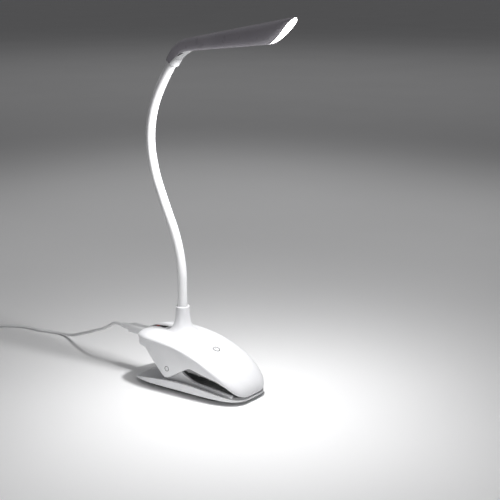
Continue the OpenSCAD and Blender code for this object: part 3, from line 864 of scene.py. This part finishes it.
# Corners of the cheeks' lower edge with its hinge ears, and of the ceiling between them: x, z and radius
EAR = rounded([(-44, 37.2, 0), (-23.7, 37.2, 5), (1.8, 12.1, 7), (30.5, 27.8, 7), (62, 20.8, 20),
               (74, 14.2, 0)])
PALATE = rounded([(-38.4, 37, 0), (-24, 36.2, 8), (-2, 30.6, 10), (24, 29.4, 12), (58, 21.4, 20),
                  (73.4, 13.4, 0)])

# How far the cheek's face, the two edges of its rounding and its inside lie in from the shell's outline
CHEEK_INSETS = (0.8, 1.05, 1.4, 4.1)
CEILING_THICK = 1.5

# Distance of the ears' outer faces from the plane of symmetry, and the sign and name of each side
EAR_FACE = 29.72
SIDES = ((-1, "right"), (1, "left"))


def build_cheeks():
    """The wall under the shell: the rear band and the two cheeks with their hinge ears."""
    count = 180
    outlines = [shell_outline(count, inset) for inset in CHEEK_INSETS]
    rings = []
    for face, round_a, round_b, inside in zip(*outlines):
        top = seam_z(shell_share(face.x, CHEEK_INSETS[0])) - 0.25
        z = min(lookup(face.x, EAR), top - 0.4)
        rings.append([
            Vector((face.x, face.y, top)), Vector((face.x, face.y, min(z + 0.6, top - 0.2))),
            Vector((round_a.x, round_a.y, min(z + 0.18, top - 0.15))), Vector((round_b.x, round_b.y, z)),
            Vector((inside.x, inside.y, z)), Vector((inside.x, inside.y, top))])
    model.add("cheek_wall", loft(rings, looped=True), WHITE_SATIN, "upper_jaw", "white_satin",
              ("clip_base",), sharp=50)


def build_ceiling():
    """The ceiling of the clip's mouth, between the cheeks."""
    rings = []
    for x, z in PALATE:
        half = min(26.2, wide((x - SHELL_X) / SHELL_A, SHELL_B, SHELL_N) - 4.2)
        top = z + CEILING_THICK
        rings.append([Vector((x, -half, z)), Vector((x, half, z)), Vector((x, half, top)),
                      Vector((x, -half, top))])
    model.add("jaw_ceiling", loft(rings), WHITE_SATIN, "upper_jaw", "white_satin")


def build_pin():
    """Hinge pin with chamfered ends, and a near-black ring of painted shade in its recess in each cheek."""
    half = (PIN_HIGH.y - PIN_LOW.y) / 2
    chamfer = 0.3
    profile = [(0, -half), (PIN_R - chamfer, -half), (PIN_R, -half + chamfer), (PIN_R, half - chamfer),
               (PIN_R - chamfer, half), (0, half)]
    model.add("hinge_pin_turned", lathe(profile, 48, about_pin), STEEL, "upper_jaw", "pin_steel",
              ("hinge_pin",))
    # Near-black rings in the clearance round the pin's ends: painted shade in the recess
    for side, name in SIDES:
        face = EAR_FACE * side
        inner = face - 0.9 * side
        profile = [(PIN_R + 0.02, inner), (PIN_R + 0.02, face + 0.02 * side),
                   (PIN_R + 0.45, face + 0.04 * side), (PIN_R + 0.5, inner)]
        model.add("pin_recess_" + name, lathe(profile, 48, about_pin, looped=True), GAP_PAINTED_SHADE, "upper_jaw",
                  "dark_rubber")


# ---------------------------------------------------------------- lower jaw

# Floor of the tray as x and z, hinge lugs as x, z and radius, and the side of the pad's bed as x and z
FLOOR_LINE = [(-46, 4.2), (-36, 3.4), (8, 3.4), (22, 6.6), (40, 8.2), (62, 6.6), (74, 5), (84, 3.8)]
LUG = rounded([(-7, 3, 0), (-1, 28.9, 5), (8.5, 28.9, 5), (19, 18.6, 6), (31, 12.9, 8), (59, 10.8, 20),
               (75, 9, 0), (75, 3, 0)])
PAD_BED = [(-1, 3), (1, 9.8), (24, 9.6), (46, 9.2), (66, 7.3), (75, 6.2), (75, 3)]
LUG_IN = 20.6
LUG_OUT = 23.2
BOSS_OUT = 26
BOSS_R = 4.8
JAW_WALL = 2.2


def jaw_outline(count, inset):
    return plan_outline(JAW_X, JAW_A, JAW_B, JAW_N, count, inset)


def bowl_rings(outline, inset, steps, height):
    """Rings from the edge of the outline in to the middle of the jaw."""
    centre = Vector((JAW_X, 0, 0))
    rings = []
    for k in range(steps + 1):
        g = sup(math.cos(math.pi / 2 * k / (steps + 0.4)), TRAY_N)
        ring = []
        for p in outline:
            q = centre + (p - centre) * g
            s = jaw_share(q.x, inset)
            half = wide(s, JAW_B, JAW_N) * (1 - inset / JAW_B)
            u = abs(q.y) / half if half > 1e-6 else 1
            ring.append(Vector((q.x, q.y, height(s, q.x, arch(u, TRAY_N) * arch(s, TRAY_END_N)))))
        rings.append(ring)
    return rings


def tray_under(s, x, share):
    """Height of the tray's outside; share is 0 at its edge and 1 over its flat bottom."""
    return lerp(rim_z(s) - 0.45, keel_z(s), share)


def tray_inside(s, x, share):
    floor = min(lookup(x, FLOOR_LINE), rim_z(s) - 0.5)
    return lerp(rim_z(s) - 0.35, floor, share)


def build_tray():
    """The boat-shaped tray: its underside, its rounded rim and its inside."""
    count = 96
    steps = 26
    rings = bowl_rings(jaw_outline(count, 0), 0, steps, tray_under)[::-1]
    for inset, drop in [(0.06, 0.2), (0.3, 0.04), (0.7, 0.0), (JAW_WALL - 0.5, 0.0),
                        (JAW_WALL - 0.15, 0.1)]:
        rings.append([Vector((p.x, p.y, rim_z(jaw_share(p.x, inset)) - drop))
                      for p in jaw_outline(count, inset)])
    rings += bowl_rings(jaw_outline(count, JAW_WALL), JAW_WALL, steps, tray_inside)
    model.add("jaw_tray", loft(rings), WHITE_SATIN, "lower_jaw", "white_satin", ("lower_jaw",), sharp=50)


def build_lugs():
    """The hinge lugs, each with a boss that spaces it from the ear, and the bed of the pad between them."""
    for side, name in SIDES:
        y0, y1 = sorted((side * LUG_IN, side * LUG_OUT))
        model.add("lug_" + name, extrude_side(LUG, y0, y1), WHITE_SATIN, "lower_jaw", "white_satin",
                  bevel=0.35)
        a, b = sorted((side * (LUG_OUT - 0.3), side * BOSS_OUT))
        bore = PIN_R + 0.06
        profile = [(bore, a), (BOSS_R, a), (BOSS_R, b - 0.3 if side > 0 else b), (bore, b)]
        model.add("lug_boss_" + name, lathe(profile, 48, about_pin, looped=True), WHITE_SATIN, "lower_jaw",
                  "white_satin")
    model.add("pad_bed", extrude_side(PAD_BED, -LUG_IN, LUG_IN), WHITE_SATIN, "lower_jaw", "white_satin",
              bevel=0.3)


def build_spring():
    """Closing spring round the pin, drawn fixed: it isn't wound up when the jaws open."""
    turns = 9
    steps = turns * 28 + 10
    start = math.radians(-64)
    end = math.radians(74 + 360 * turns)
    half = 7.4
    r = 4.6
    lower_leg = [Vector((-20, -half, 5.2)), Vector((-8, -half, 11.7))]
    upper_leg = [Vector((-8, half, 30.2)), Vector((-17, half, 33.1))]
    coils = []
    for i in range(steps + 1):
        a = lerp(start, end, i / steps)
        y = lerp(-half, half, i / steps)
        coils.append(Vector((PIN_X + r * math.cos(a), y, PIN_Z + r * math.sin(a))))
    wire = tube(lower_leg + coils + upper_leg, 0.75, 12)
    obj = model.add("closing_spring", wire, SPRING_STEEL, None, "spring_steel", ride=False)
    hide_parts("torsion_spring")
    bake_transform(obj)


# ---------------------------------------------------------------- gooseneck

# The neck's last stretch, which ends inside the head: its turn in degrees and its length
LAST_TURN = -9
LAST_LENGTH = 33


def neck_line():
    """The neck's centreline, as points with their pivot number: arcs through the pivots without a kink."""
    at = Vector((0, 0, COLLAR_Z))
    heading = math.pi / 2
    steps = 24
    line = []
    for i in range(len(PIVOTS) + 1):
        if i < len(PIVOTS):
            chord = PIVOTS[i] - at
            turn = 2 * (math.atan2(chord.z, chord.x) - heading)
            length = chord.length * (turn / 2 / math.sin(turn / 2) if abs(turn) > 1e-4 else 1)
        else:
            turn = math.radians(LAST_TURN)
            length = LAST_LENGTH
        for k in range(steps):
            line.append((i + k / steps, at.copy()))
            h = heading + turn * (k + 0.5) / steps
            at = at + Vector((math.cos(h), 0, math.sin(h))) * (length / steps)
        heading += turn
    line.append((float(len(PIVOTS) + 1), at.copy()))
    return line, at, heading


def build_neck():
    """The sleeve: a piece round each joint, from the middle of one link to the middle of the next."""
    line, end, heading = neck_line()
    line = [(0.0, Vector((0, 0, 47.0))), (0.0, Vector((0, 0, 60.0))), *line]
    slack = 1e-6
    count = len(PIVOTS)
    for k in range(1, count + 1):
        first = -1 if k == 1 else k - 0.5
        final = k + 0.5 if k < count else count + 1
        path = [p for t, p in line if first - slack <= t <= final + slack]
        nodes = [f"neck_sleeve_{k}" if k < count else "head_sleeve"] + (["base_sleeve"] if k == 1 else [])
        shape = tube(path, NECK_R, 40)
        obj = model.add(f"gooseneck_{k}", shape, SILICONE, None, "silicone", ride=False, sharp=60)
        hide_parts(*nodes)
        a = next(p for t, p in line if t >= k - 0.5)
        b = next(p for t, p in line if t >= k + 0.5 - slack)
        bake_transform(obj)
    return end, heading


# ---------------------------------------------------------------- head

# Head, in millimetres and degrees. Its underside runs straight for ELBOW_LEAD, turns with radius ELBOW_IN to
# UNDER_RISE, runs straight to CHIN_X, turns with radius CHIN_BEND to CHIN_RISE, and ends in a tip of radius
# TIP_BEND. Its top starts TOP_TILT past the neck's heading and turns with radius ELBOW_OUT to TOP_RISE.
HEAD_D = 12
ELBOW_W = 14
TIP_W = 19
CHIN_X = 96
ELBOW_LEAD = 6.5
ELBOW_IN = 22
ELBOW_OUT = 34.5
UNDER_RISE = 5.5
TOP_TILT = 11
TOP_RISE = 10.5
CHIN_BEND = 60
CHIN_RISE = 20
TIP_BEND = 81.5
TIP_RISE = (34, 55)
TIP_FROM = 2.35
LEAD_SHARE = 0.35

# Half angle of the slot under the head at the neck, along the wand, at the chin's end and at the tip
SLOT = (84, 34, 20, 60)
SECTION_N = 2.5
WINDOW_RECESS = 0.35
CHIN_RECESS = 0.75


def arc_way(r, a, b):
    """Way along an arc of radius r while the heading turns from a to b, in degrees."""
    side = 1 if b > a else -1
    a, b = math.radians(a), math.radians(b)
    return Vector((math.sin(b) - math.sin(a), 0, math.cos(a) - math.cos(b))) * (side * r)


class Wand:
    """The head by stations t: elbow from 0 to 1, straight wand to 2, chin to TIP_FROM, slanted tip to 3."""

    def __init__(self, end, heading):
        along = Vector((math.cos(heading), 0, math.sin(heading)))
        self.origin = end - along
        self.turn = math.degrees(heading)
        self.low = Vector((along.z, 0, -along.x)) * (HEAD_D / 2)
        self.bend = self.low + along * ELBOW_LEAD
        self.low_end = self.bend + arc_way(ELBOW_IN, self.turn, UNDER_RISE)
        rise = (CHIN_X - self.low_end.x) * math.tan(math.radians(UNDER_RISE))
        self.chin = Vector((CHIN_X, 0, self.low_end.z + rise))
        self.kink = self.chin + arc_way(CHIN_BEND, UNDER_RISE, CHIN_RISE)
        self.high_end = arc_way(ELBOW_OUT, self.turn + TOP_TILT, TOP_RISE) - self.low

    def low_edge(self, t):
        """Point of the underside at station t."""
        if t < LEAD_SHARE:
            return self.low.lerp(self.bend, t / LEAD_SHARE)
        if t < 1:
            share = (t - LEAD_SHARE) / (1 - LEAD_SHARE)
            return self.bend + arc_way(ELBOW_IN, self.turn, lerp(self.turn, UNDER_RISE, share))
        if t < 2:
            return self.low_end.lerp(self.chin, t - 1)
        if t < TIP_FROM:
            f = (t - 2) / (TIP_FROM - 2)
            return self.chin + arc_way(CHIN_BEND, UNDER_RISE, lerp(UNDER_RISE, CHIN_RISE, f))
        return self.kink + arc_way(TIP_BEND, TIP_RISE[0], lerp(*TIP_RISE, self.tip_share(t)))

    def tip_share(self, t):
        return (t - TIP_FROM) / (3 - TIP_FROM)

    def chin_share(self, t):
        """1 at the kink between chin and tip, fading out on both sides of it."""
        f = (t - 2) / (TIP_FROM - 2) if t < TIP_FROM else 1 - self.tip_share(t) / 0.2
        return smooth(max(0, f))

    def high_edge(self, t):
        """Point of the top at station t."""
        if t < 1:
            first = self.turn + TOP_TILT
            return arc_way(ELBOW_OUT, first, lerp(first, TOP_RISE, t)) - self.low
        x = lerp(self.high_end.x, CHIN_X, t - 1) if t < 2 else self.low_edge(t).x
        return Vector((x, 0, self.high_end.z + (x - self.high_end.x) * math.tan(math.radians(TOP_RISE))))

    def half(self, t):
        """Half width of the head: widening to the chin, then rounded off in plan at the tip."""
        if t < 1:
            return lerp(HEAD_D, ELBOW_W, t) / 2
        if t < 2:
            return lerp(ELBOW_W, TIP_W, 1 - (2 - t) ** 1.8) / 2
        if t < TIP_FROM:
            return TIP_W / 2
        return TIP_W / 2 * max(max(1 - self.tip_share(t) ** 5, 0) ** (1 / 2.2), 0.25)

    def opening(self, t):
        """Half angle of the slot under the head that the elbow cover and the diffuser fill."""
        if t < 1:
            return lerp(SLOT[0], SLOT[1], t)
        if t < TIP_FROM:
            return lerp(SLOT[1], SLOT[2], smooth(max(0, (t - 2) / (TIP_FROM - 2))))
        return lerp(SLOT[2], SLOT[3], self.tip_share(t) ** 1.5)

    def point(self, t, angle, depth, flat=False):
        """Point of the section at station t, moved in by depth; flat levels the light window's underside."""
        low = self.low_edge(t)
        high = self.high_edge(t)
        axis = high - low
        h = axis.length
        w = self.half(t)
        most = 0.3
        d = min(depth, most * h, most * w)
        a = math.radians(angle)
        y = (w - d) * sup(math.cos(a), SECTION_N)
        z = (h / 2 - d) * sup(math.sin(a), SECTION_N)
        if flat:
            level = min(depth, most * h) - h / 2 * sup(math.cos(math.radians(self.opening(t))), SECTION_N)
            level += WINDOW_RECESS + CHIN_RECESS * self.chin_share(t)
            z = lerp(z, level, smooth(clamp((t - 0.7) / 0.3, 0, 1)))
        return self.origin + (low + high) / 2 + axis / h * z + Vector((0, y, 0))


def skin(wand, t0, t1, steps, k, top, trim, depth):
    """Strip of the head's skin from t0 to t1 with rounded long edges, on top of the slot or filling it."""
    rounding = 0.09
    rings = []
    for i in range(steps + 1):
        t = lerp(t0, t1, i / steps)
        opening = wand.opening(t) + trim
        a0, a1 = (-90 + opening, 270 - opening) if top else (-90 - opening, -90 + opening)

        def at(share, inside):
            return wand.point(t, lerp(a0, a1, share), inside, not top)

        ring = [at(0, depth * 0.5), at(0.002, rounding)]
        ring += [at(lerp(0.008, 0.992, j / k), 0) for j in range(k + 1)]
        ring += [at(0.998, rounding), at(1, depth * 0.5)]
        ring += [at(j / k, depth) for j in range(k, -1, -1)]
        rings.append(ring)
    return loft(rings)


def build_head(end, heading):
    wand = Wand(end, heading)
    wall = 1.3
    gap = 0.6
    fine = 2
    # The head's skin takes the darkened white, which is painted shade
    model.add("head_skin", skin(wand, 0, 3, 100 * fine, 32 * fine, True, gap, wall), HEAD_PAINTED_SHADE, "head",
              "white_gloss", ("head_shell",), sharp=60)
    model.add("elbow_underside", skin(wand, 0, 0.98, 30 * fine, 20 * fine, False, -gap, wall), WHITE_SATIN,
              "head", "white_satin", ("elbow_cover",), sharp=60)
    model.add("light_window", skin(wand, 1, 3, 64 * fine, 16 * fine, False, -gap, wall), DIFFUSER, "head",
              "diffuser", ("diffuser",), sharp=60)
    # Near-black strip in the seam under the elbow: painted shade
    slot_rings = []
    for k in range(9):
        t = lerp(0.5, 0.72, k / 8)
        a0 = -87 - wand.opening(t)
        a1 = a0 + 9
        slot_rings.append([wand.point(t, a0, 0.5), wand.point(t, a0, -0.04),
                           wand.point(t, a1, -0.04), wand.point(t, a1, 0.5)])
    model.add("elbow_slot", loft(slot_rings), GAP_PAINTED_SHADE, "head", "dark_rubber")


# ---------------------------------------------------------------- plugs

def build_relief():
    """Ribbed strain relief that tapers from the plug to the cord."""
    length = RELIEF_HIGH.x - RELIEF_LOW.x

    def place(p):
        return Vector((RELIEF_HIGH.x - p.z, p.x, PORT_Z + p.y))

    pitch = 1.9
    taper = 0.2
    profile = [(0, 0)]
    for i in range(7):
        r = 3.6 - taper * i
        z = pitch * i
        for dr, dz in [(-0.15, 0.0), (0, 0.15), (0, 0.95), (-0.15, 1.1), (-0.6, 1.2), (-0.6, 1.8)]:
            if z + dz <= length:
                profile.append((r + dr, z + dz))
    profile += [(1.7, length), (0, length)]
    model.add("relief_ribs", lathe(profile, 40, place), PLUG_PLASTIC, "upper_jaw", "plug_plastic",
              ("strain_relief",), sharp=50)


def paint(node, material):
    """Gives a CAD node that is shown as it is its own finish."""
    data = frame["nodes"][node].data
    data.materials.clear()
    data.materials.append(material)


build_camera()
build_sky()
build_floor()
build_lights()
build_cord(*build_far_plug())
build_shell()
build_window()
build_symbol()
build_cheeks()
build_ceiling()
build_pin()
build_tray()
build_lugs()
build_spring()
build_head(*build_neck())
build_relief()
model.refine("plug_body", "plug_mould", PLUG_PLASTIC, 0.7)
model.refine("pad_upper", "upper_pad", DARK_RUBBER, 0.25)
model.refine("pad_lower", "lower_pad", DARK_RUBBER, 0.25)
model.refine("pad_lip", "lip_strip", DARK_RUBBER, 0.2)
model.refine("foot", "foot_pad", FOOT_RUBBER, 0.3)

for carried, finish in {
        "touch_plate": BRASS, "clip_screws": SCREW_STEEL, "circuit_board": BOARD, "usb_socket": STEEL,
        "charge_led": RED_LED, "battery_cell": CELL_WRAP, "neck_nut": SCREW_STEEL, "base_core": CORE_STEEL,
        "head_core": CORE_STEEL, "led_board": WHITE_BOARD, "leds": LED_CHIP, "heat_bar": ALUMINIUM,
        "head_clamp": BRASS, "plug_metal": STEEL}.items():
    paint(carried, finish)
for number in range(1, 7):
    paint(f"neck_core_{number}", CORE_STEEL)
